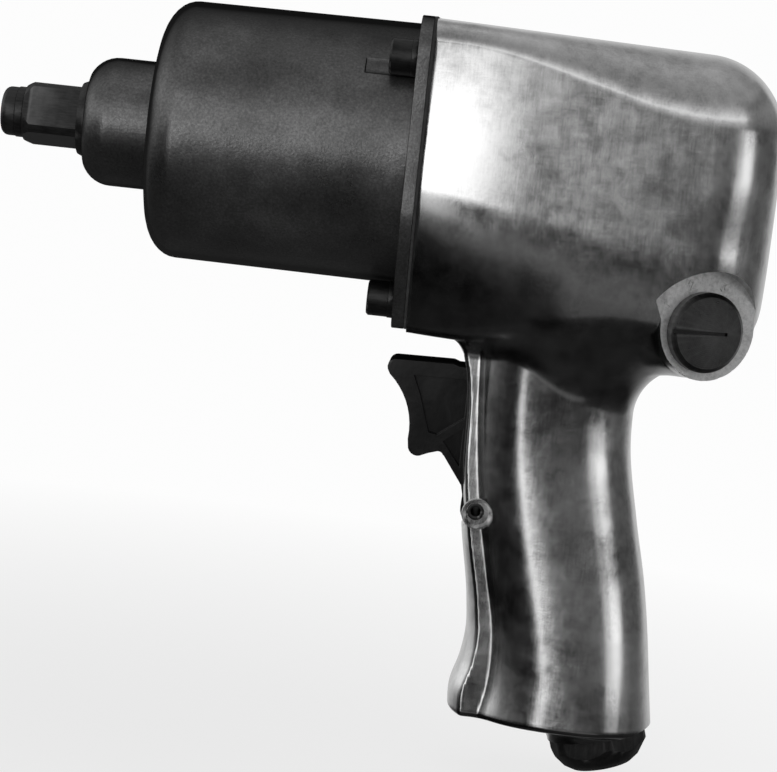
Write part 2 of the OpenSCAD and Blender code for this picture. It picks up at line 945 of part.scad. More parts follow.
module inlet_bushing() {
    head = 8.2;
    color("#19191a")
        at_inlet()
            difference() {
                union() {
                    bar_z(0, 13.8, thread_r);
                    intersection() {
                        rotate([0, 0, hex_turn])
                            bar_z(-head, 0, hex_corner_r, $fn = 6);
                        rotate_extrude($fn = 96)
                            polygon([[0, -head], [7.4, -head], [9.4, -head + 1.4],
                                [inlet_boss_r, -head + 5.2], [inlet_boss_r, 0], [0, 0]]);
                    }
                }
                // Thread up to the mouth, then a narrower way to the screen
                bar_z(-head - cut, -0.1, pipe_bore_r);
                bar_z(-1, 15, inlet_way_r);
                translate([0, 0, -head])
                    rotate_extrude($fn = 96)
                        polygon([[0, -0.1], [6.85, -0.1], [pipe_bore_r - 0.1, 1.2], [0, 1.2]]);
            }
}

module inlet_gasket() {
    color("#161616")
        at_inlet()
            difference() {
                bar_z(13.85, 14.45, thread_r - 0.1);
                bar_z(13, 15, 6.6);
            }
}

module inlet_screen() {
    wall = 0.6;
    color("#b0a070")
        at_inlet()
            difference() {
                bar_z(14.5, 22.5, 8.4);
                bar_z(14.5 - cut, 22.5 - wall, 8.4 - wall);
                for (i = [0:7])
                    rotate([0, 0, i * 45]) {
                        translate([0, 0, 18.5])
                            rotate([0, 90, 0])
                                cylinder(h = 10, r = 1.4);
                        bar_z(20, 24, 0.9, 4.2);
                    }
            }
}

// -------------------------------------------------------- exhaust muffler

module along_exhaust() {
    run = chamber_foot - chamber_top;
    translate(chamber_top)
        rotate([0, atan2(run[0], run[2]), 0])
            children();
}

module exhaust_muffler() {
    color("#5a5148")
        along_exhaust()
            bar_z(21, 33.4, chamber_bore_r - 0.1);
}

module muffler_retainer() {
    color("#2a2a2b")
        along_exhaust()
            difference() {
                bar_z(33.5, 35.2, chamber_bore_r - 0.05);
                for (i = [0:5])
                    rotate([0, 0, i * 60])
                        bar_z(32, 37, 1.1, 3.4);
                bar_z(32, 37, 1.3);
            }
}

anvil();
friction_ring();
friction_ring_backing();
hammer_case();
anvil_bushing();
thrust_washer();
case_screws();
case_lock_washers();
case_gasket();
hammer_frame();
hammer_pins();
front_hammer();
rear_hammer();
front_end_plate();
front_bearing_outer_race();
front_bearing_inner_race();
front_bearing_balls();
front_bearing_cage();
rotor();
vanes();
motor_cylinder();
cylinder_dowel();
rear_end_plate();
rear_bearing_outer_race();
rear_bearing_inner_race();
rear_bearing_balls();
rear_bearing_cage();
motor_clamp_spring();
motor_housing();
regulator_knob();
reverse_valve();
valve_bushing();
valve_o_ring();
valve_roll_pin();
detent_ball();
detent_spring();
trigger();
trigger_pin();
throttle_plunger();
plunger_bushing();
plunger_o_ring();
throttle_valve();
throttle_valve_seat();
throttle_valve_spring();
inlet_bushing();
inlet_screen();
inlet_gasket();
exhaust_muffler();
muffler_retainer();
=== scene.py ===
import json
import math

import bmesh
import bpy
import numpy as np
from mathutils import Matrix, Vector


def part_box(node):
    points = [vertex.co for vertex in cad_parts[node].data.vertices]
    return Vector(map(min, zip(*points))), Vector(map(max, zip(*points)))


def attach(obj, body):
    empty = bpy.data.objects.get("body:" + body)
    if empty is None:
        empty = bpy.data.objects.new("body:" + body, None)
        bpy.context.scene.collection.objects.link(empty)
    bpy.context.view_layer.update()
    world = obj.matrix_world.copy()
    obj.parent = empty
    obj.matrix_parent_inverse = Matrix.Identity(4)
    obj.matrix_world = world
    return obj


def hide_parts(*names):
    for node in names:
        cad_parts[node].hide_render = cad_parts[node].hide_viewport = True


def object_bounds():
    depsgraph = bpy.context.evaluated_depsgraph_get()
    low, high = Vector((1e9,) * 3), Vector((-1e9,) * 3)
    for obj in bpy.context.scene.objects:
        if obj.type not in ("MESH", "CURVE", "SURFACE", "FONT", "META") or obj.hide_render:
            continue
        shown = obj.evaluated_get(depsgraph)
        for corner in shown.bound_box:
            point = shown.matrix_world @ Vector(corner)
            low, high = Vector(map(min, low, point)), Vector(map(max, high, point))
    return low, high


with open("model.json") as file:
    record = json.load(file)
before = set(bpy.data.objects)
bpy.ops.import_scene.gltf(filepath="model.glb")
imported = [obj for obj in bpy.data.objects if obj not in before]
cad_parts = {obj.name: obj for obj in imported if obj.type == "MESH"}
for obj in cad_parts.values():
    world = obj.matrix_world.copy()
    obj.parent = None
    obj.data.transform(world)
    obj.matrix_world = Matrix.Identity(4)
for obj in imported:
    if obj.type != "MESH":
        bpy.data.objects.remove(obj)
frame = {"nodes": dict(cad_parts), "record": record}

cad_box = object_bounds()
scene = bpy.context.scene
MM = 0.001

# The regulator valve's seat in millimetres, turned a little to the rear
KNOB_TURN = math.radians(25)
SEAT_AT = np.array([153.1, -26.0, -32.9])
SEAT_R = 14.6
KNOB_AXIS = np.array([math.sin(KNOB_TURN), -math.cos(KNOB_TURN), 0.0])


# ------------------------------------------------------------ small helpers

def mm_box(node):
    """A CAD node's corners in millimetres."""
    low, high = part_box(node)
    return np.array(low) / MM, np.array(high) / MM


def new_object(name, verts_mm, faces, material, body):
    """Mesh from points in millimetres, riding on a body."""
    mesh = bpy.data.meshes.new(name)
    points = np.asarray(verts_mm, float) * MM
    mesh.from_pydata([tuple(p) for p in points], [], [tuple(f) for f in faces])
    mesh.validate()
    mesh.update()
    obj = bpy.data.objects.new(name, mesh)
    scene.collection.objects.link(obj)
    mesh.materials.append(material)
    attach(obj, body)
    return obj


def shade(obj, angle=30):
    """Smooth shading that stays sharp at edges steeper than angle."""
    mesh = obj.data
    mesh.shade_smooth()
    mesh.set_sharp_from_angle(angle=math.radians(angle))


def add_bevel(obj, width_mm, segments=2, angle=30):
    bevel = obj.modifiers.new("edge", "BEVEL")
    bevel.width = width_mm * MM
    bevel.segments = segments
    bevel.limit_method = "ANGLE"
    bevel.angle_limit = math.radians(angle)
    bevel.use_clamp_overlap = True
    bevel.harden_normals = True
    return bevel


def smooth_between(low, high, value):
    t = np.clip((value - low) / (high - low), 0, 1)
    return t * t * (3 - 2 * t)


def curve_through(at, values):
    """Smooth curve through a few points, as a function of position."""
    at = np.array(at, float)
    values = np.array(values, float)
    slope = np.gradient(values, at)

    def value(t):
        t = np.clip(t, at[0], at[-1])
        i = np.clip(np.searchsorted(at, t) - 1, 0, len(at) - 2)
        h = at[i + 1] - at[i]
        u = (t - at[i]) / h
        start = (1 + 2 * u) * (1 - u) ** 2 * values[i] + u * (1 - u) ** 2 * h * slope[i]
        finish = u * u * (3 - 2 * u) * values[i + 1] + u * u * (u - 1) * h * slope[i + 1]
        return start + finish

    return value


# ------------------------------------------------------------- materials

def nodes_of(material):
    return material.node_tree.nodes, material.node_tree.links


def new_material(name):
    material = bpy.data.materials.new(name)
    material.use_nodes = True
    return material


def math_node(nodes, links, operation, a, b=None):
    node = nodes.new("ShaderNodeMath")
    node.operation = operation
    for socket, value in ((0, a), (1, b)):
        if value is None:
            continue
        if isinstance(value, (int, float)):
            node.inputs[socket].default_value = value
        else:
            links.new(value, node.inputs[socket])
    return node.outputs[0]


def place(nodes, links, scale, rotation=(0, 0, 0)):
    """Object coordinates, stretched by scale (per metre)."""
    coord = nodes.new("ShaderNodeTexCoord")
    mapping = nodes.new("ShaderNodeMapping")
    mapping.inputs["Scale"].default_value = scale
    mapping.inputs["Rotation"].default_value = rotation
    links.new(coord.outputs["Object"], mapping.inputs["Vector"])
    return mapping.outputs["Vector"]


def noise(nodes, links, vector, scale, detail=4.0, rough=0.55, distortion=0.0):
    node = nodes.new("ShaderNodeTexNoise")
    node.inputs["Scale"].default_value = scale
    node.inputs["Detail"].default_value = detail
    node.inputs["Roughness"].default_value = rough
    node.inputs["Distortion"].default_value = distortion
    links.new(vector, node.inputs["Vector"])
    return node.outputs["Fac"]


def ramp(nodes, links, value, stops):
    node = nodes.new("ShaderNodeValToRGB")
    elements = node.color_ramp.elements
    while len(elements) < len(stops):
        elements.new(0.5)
    for element, (position, level) in zip(elements, stops):
        element.position = position
        element.color = tuple(level) + (1,) if isinstance(level, tuple) else (level, level, level, 1)
    links.new(value, node.inputs["Fac"])
    return node.outputs["Color"]


def remap(nodes, links, value, from_low, from_high, to_low, to_high):
    node = nodes.new("ShaderNodeMapRange")
    node.inputs["From Min"].default_value = from_low
    node.inputs["From Max"].default_value = from_high
    node.inputs["To Min"].default_value = to_low
    node.inputs["To Max"].default_value = to_high
    links.new(value, node.inputs["Value"])
    return node.outputs["Result"]


def bump(nodes, links, height, distance_mm, strength=1.0, normal=None):
    node = nodes.new("ShaderNodeBump")
    node.inputs["Strength"].default_value = strength
    node.inputs["Distance"].default_value = distance_mm * MM
    links.new(height, node.inputs["Height"])
    if normal is not None:
        links.new(normal, node.inputs["Normal"])
    return node.outputs["Normal"]


def edge_wear(nodes, links):
    """Near 1 on convex edges, 0 on open faces."""
    node = nodes.new("ShaderNodeNewGeometry")
    return remap(nodes, links, node.outputs["Pointiness"], 0.53, 0.62, 0, 1)


def polished_aluminium():
    """Hand-polished casting: cloudy stains and fine brush marks."""
    material = new_material("polished_aluminium")
    nodes, links = nodes_of(material)
    shader = nodes["Principled BSDF"]
    shader.inputs["Metallic"].default_value = 1
    wide = place(nodes, links, (1, 1, 1))
    cloud = noise(nodes, links, wide, 60, 7, 0.62, 0.5)
    stain = noise(nodes, links, wide, 230, 5, 0.6, 0.3)
    # Brushed upright, with a fainter slanting pass over it
    upright = place(nodes, links, (2600, 2600, 190), (0, math.radians(-7), 0))
    brush = noise(nodes, links, upright, 1.0, 3, 0.6)
    slanting = place(nodes, links, (150, 2400, 2400), (0, math.radians(30), 0))
    swirl = noise(nodes, links, slanting, 1.0, 3, 0.6, 0.8)
    level = math_node(nodes, links, "MULTIPLY", cloud, 0.42)
    level = math_node(nodes, links, "ADD", level, math_node(nodes, links, "MULTIPLY", brush, 0.14))
    level = math_node(nodes, links, "ADD", level, math_node(nodes, links, "MULTIPLY", swirl, 0.08))
    level = math_node(nodes, links, "ADD", level, math_node(nodes, links, "MULTIPLY", stain, 0.36))
    tone = ramp(nodes, links, level, [(0.36, 0.40), (0.50, 0.66), (0.62, 0.80)])
    links.new(tone, shader.inputs["Base Color"])
    links.new(remap(nodes, links, level, 0.36, 0.62, 0.13, 0.26), shader.inputs["Roughness"])
    wave = noise(nodes, links, wide, 30, 2, 0.5)
    normal = bump(nodes, links, wave, 1.0, 0.26)
    normal = bump(nodes, links, stain, 0.05, 0.3, normal)
    normal = bump(nodes, links, brush, 0.004, 0.6, normal)
    normal = bump(nodes, links, swirl, 0.004, 0.5, normal)
    links.new(normal, shader.inputs["Normal"])
    return material


def keep_rim_dark(material, start, end, tone):
    """Fades a black part to plain matt at grazing angles, where it would mirror the room."""
    nodes, links = nodes_of(material)
    angle = nodes.new("ShaderNodeLayerWeight")
    angle.inputs["Blend"].default_value = 0.5
    matt = nodes.new("ShaderNodeBsdfDiffuse")
    matt.inputs["Color"].default_value = (tone, tone, tone, 1)
    fade = remap(nodes, links, angle.outputs["Facing"], start, end, 0, 1)
    mix = nodes.new("ShaderNodeMixShader")
    links.new(fade, mix.inputs[0])
    links.new(nodes["Principled BSDF"].outputs[0], mix.inputs[1])
    links.new(matt.outputs[0], mix.inputs[2])
    links.new(mix.outputs[0], nodes["Material Output"].inputs["Surface"])
    return material


def black_casting():
    """Black painted casting with a fine grain and faint handling marks."""
    material = new_material("black_casting")
    nodes, links = nodes_of(material)
    shader = nodes["Principled BSDF"]
    wide = place(nodes, links, (1, 1, 1))
    grain = noise(nodes, links, wide, 1700, 3, 0.65)
    coarse = noise(nodes, links, wide, 420, 4, 0.6)
    cloud = noise(nodes, links, wide, 48, 5, 0.6)
    speck = remap(nodes, links, noise(nodes, links, wide, 1300, 1, 0.5), 0.76, 0.80, 0, 1)
    level = math_node(nodes, links, "ADD", math_node(nodes, links, "MULTIPLY", cloud, 0.6),
                      math_node(nodes, links, "MULTIPLY", grain, 0.4))
    tone = ramp(nodes, links, level, [(0.30, 0.06), (0.52, 0.16), (0.70, 0.30)])
    lit = nodes.new("ShaderNodeMix")
    lit.data_type = "RGBA"
    links.new(math_node(nodes, links, "MULTIPLY", speck, 0.5), lit.inputs["Factor"])
    links.new(tone, lit.inputs["A"])
    lit.inputs["B"].default_value = (0.10, 0.10, 0.10, 1)
    links.new(lit.outputs["Result"], shader.inputs["Base Color"])
    shader.inputs["Metallic"].default_value = 0.92
    links.new(remap(nodes, links, cloud, 0.3, 0.7, 0.25, 0.36), shader.inputs["Roughness"])
    normal = bump(nodes, links, coarse, 0.12, 0.35)
    normal = bump(nodes, links, grain, 0.07, 0.6, normal)
    links.new(normal, shader.inputs["Normal"])
    return material


def dark_metal(name, dark, light, rough_low, rough_high, grain_scale=(300, 2600, 2600), metallic=0.9,
               grain_depth=0.01, worn=0.14):
    """Black oxide or phosphate steel with turning marks and worn edges."""
    material = new_material(name)
    nodes, links = nodes_of(material)
    shader = nodes["Principled BSDF"]
    shader.inputs["Metallic"].default_value = metallic
    wide = place(nodes, links, (1, 1, 1))
    marks = noise(nodes, links, place(nodes, links, grain_scale), 1.0, 3, 0.6)
    cloud = noise(nodes, links, wide, 220, 6, 0.65)
    level = math_node(nodes, links, "ADD", math_node(nodes, links, "MULTIPLY", marks, 0.45),
                      math_node(nodes, links, "MULTIPLY", cloud, 0.55))
    tone = ramp(nodes, links, level, [(0.30, dark), (0.70, light)])
    wear = edge_wear(nodes, links)
    mix = nodes.new("ShaderNodeMix")
    mix.data_type = "RGBA"
    links.new(math_node(nodes, links, "MULTIPLY", wear, cloud), mix.inputs["Factor"])
    links.new(tone, mix.inputs["A"])
    mix.inputs["B"].default_value = (worn, worn, worn, 1)
    links.new(mix.outputs["Result"], shader.inputs["Base Color"])
    links.new(remap(nodes, links, level, 0.3, 0.7, rough_low, rough_high), shader.inputs["Roughness"])
    normal = bump(nodes, links, marks, grain_depth, 0.7)
    normal = bump(nodes, links, cloud, 0.03, 0.3, normal)
    links.new(normal, shader.inputs["Normal"])
    return material


def turned_black():
    """Face-turned black steel: fine rings about the knob's own axis."""
    material = dark_metal("turned_black", 0.015, 0.045, 0.24, 0.38, (1400, 1400, 1400), 0.9, 0.006, 0.3)
    nodes, links = nodes_of(material)
    shader = nodes["Principled BSDF"]
    coord = nodes.new("ShaderNodeTexCoord")
    local = nodes.new("ShaderNodeMapping")
    local.vector_type = "TEXTURE"
    local.inputs["Location"].default_value = tuple(SEAT_AT * MM)
    local.inputs["Rotation"].default_value = (math.pi / 2, 0, KNOB_TURN)
    links.new(coord.outputs["Object"], local.inputs["Vector"])
    # Turning marks run round the axis, and so does the stretch of the highlight
    outward = nodes.new("ShaderNodeVectorMath")
    outward.operation = "SUBTRACT"
    outward.inputs[1].default_value = tuple(SEAT_AT * MM)
    links.new(coord.outputs["Object"], outward.inputs[0])
    round_axis = nodes.new("ShaderNodeVectorMath")
    round_axis.operation = "CROSS_PRODUCT"
    round_axis.inputs[0].default_value = tuple(KNOB_AXIS)
    links.new(outward.outputs[0], round_axis.inputs[1])
    unit = nodes.new("ShaderNodeVectorMath")
    unit.operation = "NORMALIZE"
    links.new(round_axis.outputs[0], unit.inputs[0])
    links.new(unit.outputs[0], shader.inputs["Tangent"])
    shader.inputs["Anisotropic"].default_value = 0.75
    rings = nodes.new("ShaderNodeTexWave")
    rings.wave_type = "RINGS"
    rings.rings_direction = "Z"
    rings.inputs["Scale"].default_value = 700
    rings.inputs["Distortion"].default_value = 0.4
    links.new(local.outputs["Vector"], rings.inputs["Vector"])
    previous = shader.inputs["Normal"].links[0].from_socket
    links.new(bump(nodes, links, rings.outputs["Fac"], 0.01, 0.5, previous), shader.inputs["Normal"])
    return material


def gloss_black():
    """Moulded gloss black with a slight orange-peel skin and fingerprints."""
    material = new_material("gloss_black")
    nodes, links = nodes_of(material)
    shader = nodes["Principled BSDF"]
    wide = place(nodes, links, (1, 1, 1))
    peel = noise(nodes, links, wide, 520, 3, 0.5)
    smear = noise(nodes, links, wide, 130, 6, 0.65, 0.5)
    tone = ramp(nodes, links, smear, [(0.35, 0.003), (0.7, 0.008)])
    links.new(tone, shader.inputs["Base Color"])
    links.new(remap(nodes, links, smear, 0.35, 0.7, 0.09, 0.18), shader.inputs["Roughness"])
    shader.inputs["Specular IOR Level"].default_value = 0.4
    shader.inputs["Coat Weight"].default_value = 0.1
    shader.inputs["Coat Roughness"].default_value = 0.08
    links.new(bump(nodes, links, peel, 0.03, 0.35), shader.inputs["Normal"])
    return material


def simple_metal(name, colour, rough, metallic=1.0):
    """Machined metal for the inner parts."""
    material = new_material(name)
    nodes, links = nodes_of(material)
    shader = nodes["Principled BSDF"]
    shader.inputs["Metallic"].default_value = metallic
    marks = noise(nodes, links, place(nodes, links, (200, 1800, 1800)), 1.0, 3, 0.6)
    dark = tuple(c * 0.7 for c in colour)
    links.new(ramp(nodes, links, marks, [(0.3, dark), (0.7, colour)]), shader.inputs["Base Color"])
    links.new(remap(nodes, links, marks, 0.3, 0.7, rough * 0.8, rough * 1.3), shader.inputs["Roughness"])
    links.new(bump(nodes, links, marks, 0.01, 0.6), shader.inputs["Normal"])
    return material


def soft_matt(name, dark, light, scale):
    """Rubber, gasket paper, felt and laminate."""
    material = new_material(name)
    nodes, links = nodes_of(material)
    shader = nodes["Principled BSDF"]
    fibre = noise(nodes, links, place(nodes, links, (1, 1, 1)), scale, 5, 0.65)
    links.new(ramp(nodes, links, fibre, [(0.3, dark), (0.7, light)]), shader.inputs["Base Color"])
    links.new(remap(nodes, links, fibre, 0.3, 0.7, 0.65, 0.9), shader.inputs["Roughness"])
    links.new(bump(nodes, links, fibre, 0.06, 0.5), shader.inputs["Normal"])
    return material


def rough_cast():
    """As-cast light aluminium of the knob's seat."""
    material = new_material("rough_cast")
    nodes, links = nodes_of(material)
    shader = nodes["Principled BSDF"]
    shader.inputs["Metallic"].default_value = 0.85
    wide = place(nodes, links, (1, 1, 1))
    grain = noise(nodes, links, wide, 1100, 4, 0.7)
    cloud = noise(nodes, links, wide, 200, 6, 0.6)
    level = math_node(nodes, links, "ADD", math_node(nodes, links, "MULTIPLY", grain, 0.5),
                      math_node(nodes, links, "MULTIPLY", cloud, 0.5))
    links.new(ramp(nodes, links, level, [(0.35, 0.48), (0.5, 0.74), (0.65, 0.92)]),
              shader.inputs["Base Color"])
    links.new(remap(nodes, links, cloud, 0.3, 0.7, 0.42, 0.6), shader.inputs["Roughness"])
    normal = bump(nodes, links, cloud, 0.1, 0.5)
    links.new(bump(nodes, links, grain, 0.06, 0.8, normal), shader.inputs["Normal"])
    return material


ALUMINIUM = polished_aluminium()
CASTING = keep_rim_dark(black_casting(), 0.20, 0.72, 0.014)
DRIVE = dark_metal("drive_phosphate", 0.03, 0.09, 0.30, 0.46, worn=0.34)
RING = dark_metal("ring_steel", 0.03, 0.08, 0.28, 0.42)
OXIDE = dark_metal("black_oxide", 0.02, 0.06, 0.24, 0.40, worn=0.3)
BUSHING = dark_metal("bushing_oxide", 0.02, 0.07, 0.28, 0.44, (1500, 1500, 300), worn=0.3)
KNOB = turned_black()
TRIGGER = gloss_black()
for coated in (DRIVE, RING, OXIDE, BUSHING, TRIGGER):
    keep_rim_dark(coated, 0.42, 0.90, 0.010)
SEAT = rough_cast()
STEEL = simple_metal("ground_steel", (0.42, 0.42, 0.43), 0.28)
FORGED = simple_metal("forged_steel", (0.26, 0.26, 0.27), 0.38)
BRIGHT = simple_metal("bearing_bright", (0.62, 0.62, 0.63), 0.14)
BRONZE = simple_metal("bronze", (0.36, 0.25, 0.12), 0.32)
WIRE = simple_metal("spring_wire", (0.34, 0.34, 0.35), 0.3)
RUBBER = soft_matt("rubber", 0.010, 0.022, 900)
PAPER = soft_matt("gasket_paper", 0.012, 0.035, 700)
FELT = soft_matt("felt", (0.16, 0.14, 0.12), (0.30, 0.27, 0.23), 1200)
LAMINATE = soft_matt("vane_laminate", (0.16, 0.09, 0.04), (0.26, 0.15, 0.07), 500)

BY_SLOT = {
    "drive_steel": DRIVE, "ring_steel": RING, "rubber": RUBBER, "black_casting": CASTING,
    "bronze": BRONZE, "machined_steel": STEEL, "hammer_steel": FORGED, "black_screw": OXIDE,
    "gasket_paper": PAPER, "bearing_steel": BRIGHT, "vane_laminate": LAMINATE,
    "polished_aluminium": ALUMINIUM, "black_knob": KNOB, "black_trigger": TRIGGER,
    "black_bushing": BUSHING, "spring_steel": WIRE, "felt": FELT,
}
for part in frame["record"]["subparts"]:
    node = frame["nodes"][part["node"]]
    node.data.materials.clear()
    node.data.materials.append(BY_SLOT[part["material_slot"]])

# Bevelled edges and clean shading on the CAD parts that stay in sight
for name, width in (("anvil", 0.35), ("friction_ring", 0.2), ("hammer_case", 0.5),
                    ("case_screws", 0.25), ("case_lock_washers", 0.15), ("trigger", 0.5),
                    ("trigger_pin", 0.2), ("inlet_bushing", 0.35)):
    node = frame["nodes"][name]
    node.data.shade_smooth()
    weld = node.modifiers.new("weld", "WELD")
    weld.merge_threshold = 0.001 * MM
    add_bevel(node, width, 3, 28)
    weighted = node.modifiers.new("normals", "WEIGHTED_NORMAL")
    weighted.keep_sharp = True
shade(frame["nodes"]["regulator_knob"], 20)


# ------------------------------------------------------- the motor housing

housing_low, housing_high = mm_box("motor_housing")
FRONT = housing_low[0]
REAR = housing_high[0]
TOP = housing_high[2]
SIDE = housing_high[1]
FOOT = -133.5
INLET_TILT = math.radians(16.5)
MOUTH = np.array([140.6, 0.0, -135.3])
UP_INLET = np.array([-math.sin(INLET_TILT), 0.0, math.cos(INLET_TILT)])
PIN_AT = np.array([105.3, 0.0, -83.2])
RIM_AT = PIN_AT + np.array([0.45, 0.0, -0.45])
RIM_R = 3.78
SCREWS_AT = ((-27, 22.8), (27, 22.8), (-13, -34.4), (13, -34.4))

# Underside of the body, the handle's ridge and the trigger slot in it
BODY_BOTTOM = -41.9
RIDGE_HALF_WIDTH = 11.0
SLOT_HALF_WIDTH = 7.45
SLOT_BACK = 109.6
SLOT_TOP = -46.0
SLOT_FOOT = -87.2
# Radii of the hollow where ridge and oval meet, and of the neck under the body
CREASE_R = 1.2
NECK_FRONT_R = 4.2
NECK_REAR_R = 13.2
BOSS_R = 12.1
LOBE_R = 12.3

# The handle's oval, by depth below the drive axis
OVAL_DEPTH = [38, 50, 64, 82, 98, 112, 124, 136]
oval_front = curve_through(OVAL_DEPTH, [101.0, 101.4, 102.2, 104.4, 107.8, 110.8, 110.8, 108.0])
oval_back = curve_through(OVAL_DEPTH, [141.4, 140.7, 140.9, 144.4, 148.2, 150.6, 151.7, 152.2])
oval_crest = curve_through(OVAL_DEPTH, [118.0, 116.5, 117.6, 121.5, 126.0, 129.4, 132.4, 134.5])
oval_side = curve_through(OVAL_DEPTH, [20.5, 18.8, 18.0, 18.0, 18.4, 18.9, 19.3, 19.5])
ridge_front = curve_through(
    [38, 45, 50, 57, 72, 88, 106, 113, 120, 127, 134],
    [96.6, 97.6, 98.9, 99.9, 100.3, 102.2, 105.4, 106.0, 105.2, 103.4, 103.6])


def round_union(a, b, r):
    """Two distances joined with a hollow fillet of radius r."""
    u = np.maximum(r - a, 0)
    v = np.maximum(r - b, 0)
    return np.maximum(r, np.minimum(a, b)) - np.sqrt(u * u + v * v)


def round_meet(a, b, r):
    """The overlap of two distances, its edge rounded to radius r."""
    u = np.maximum(a + r, 0)
    v = np.maximum(b + r, 0)
    return np.minimum(-r, np.maximum(a, b)) + np.sqrt(u * u + v * v)


def body_distance(x, y, z):
    """The motor body: crowned sides that turn in towards the underside."""
    rearward = (x - FRONT) / (REAR - FRONT)
    mid = np.clip(rearward / 0.8, 0, 1)
    top = TOP - 2.2 * rearward - 1.0 * (y / SIDE) ** 2
    bottom = BODY_BOTTOM - 1.7 * mid
    turn_at = -6.0 - 9.0 * mid
    turn_end = -37.0 - 5.0 * mid
    inset = 12.6 - 8.6 * mid
    down = np.maximum((turn_at - z) / (turn_at - turn_end), 0)
    crown = 1.7 * np.clip((109 - x) / 25, 0, 1.2) ** 2 + 0.7 * np.clip((x - 125) / 42, 0, 1) ** 2
    width = SIDE - 0.1 - crown - inset * down ** 1.8
    width = width - 1.6 * np.clip((z + 4) / 36, 0, 1) ** 2
    lean = inset * 1.8 * np.minimum(down, 1.3) ** 0.8 / (turn_at - turn_end)
    side = (np.abs(y) - width) / np.sqrt(1 + lean * lean)
    rear = x - (REAR - 0.6 * ((z + 6) / 25) ** 2)
    upper = smooth_between(-14, 4, z)
    low_edge = 2.4 + 9.6 * smooth_between(0.05, 0.75, mid)
    high_edge = 5.0 + 11.0 * smooth_between(0.1, 1.0, mid)
    edge = low_edge * (1 - upper) + high_edge * upper
    section = round_meet(side, np.maximum(z - top, bottom - z), edge)
    return round_meet(section, rear, 17.0 + 2.0 * (1 - upper))


def handle_distance(x, y, z):
    """The oval grip with the squarer ridge down its front."""
    depth = -z
    front = oval_front(depth)
    back = oval_back(depth)
    half = oval_side(depth)
    crest = oval_crest(depth)
    dx = x - crest
    reach = np.where(dx < 0, crest - front, back - crest)
    power = 2.3
    ratio = (np.abs(dx / reach) ** power + np.abs(y / half) ** power) ** (1 / power)
    away = np.sqrt(dx * dx + y * y)
    oval = away * (1 - 1 / np.maximum(ratio, 0.05))
    lean = np.clip((depth - 60) / 60, 0, 1)
    nose = ridge_front(depth) - x + (0.008 + 0.016 * lean) * y * y
    ridge = round_meet(nose, np.abs(y) - RIDGE_HALF_WIDTH, 0.7)
    ridge = np.maximum(ridge, x - crest)
    return round_union(oval, ridge, CREASE_R)


def in_valve(x, y, z):
    """Position in the valve's frame: across, up and out from the seat."""
    rx = x - SEAT_AT[0]
    ry = y - SEAT_AT[1]
    across = rx * math.cos(KNOB_TURN) + ry * math.sin(KNOB_TURN)
    out = rx * KNOB_AXIS[0] + ry * KNOB_AXIS[1]
    return across, z - SEAT_AT[2], out


def housing_distance(points):
    """The whole outside of the housing, before its bores are cut."""
    x, y, z = points[..., 0], points[..., 1], points[..., 2]
    body = body_distance(x, y, z)
    handle = handle_distance(x, y, z)
    handle = np.maximum(handle, z + 30)
    blend = NECK_FRONT_R + (NECK_REAR_R - NECK_FRONT_R) * smooth_between(107, 126, x)
    shape = round_union(body, handle, blend)
    # Boss round the inlet, flush with the bushing
    rx = x - MOUTH[0]
    rz = z - MOUTH[2]
    along = rx * UP_INLET[0] + rz * UP_INLET[2]
    radial = np.sqrt(np.maximum(rx * rx + y * y + rz * rz - along * along, 0))
    boss = np.maximum(radial - BOSS_R, np.maximum(along - 24, -2 - along))
    foot = round_meet(shape, FOOT - z, 1.6)
    shape = round_union(foot, boss, 5.0)
    # Lobe that carries the knob's seat
    across, up, out = in_valve(x, y, z)
    lobe = np.sqrt((across - 1.2) ** 2 + (up - 0.8) ** 2) - LOBE_R
    lobe = np.maximum(lobe, np.maximum(out - 0.4, -14 - out))
    shape = round_union(shape, lobe, 3.0 * np.clip(-out / 4, 0, 1))
    # Trigger slot with eased edges
    slot_length = np.maximum(z - SLOT_TOP, SLOT_FOOT - z)
    slot = np.maximum(np.abs(y) - SLOT_HALF_WIDTH, np.maximum(x - SLOT_BACK, slot_length))
    return round_meet(shape, -slot, 0.6)


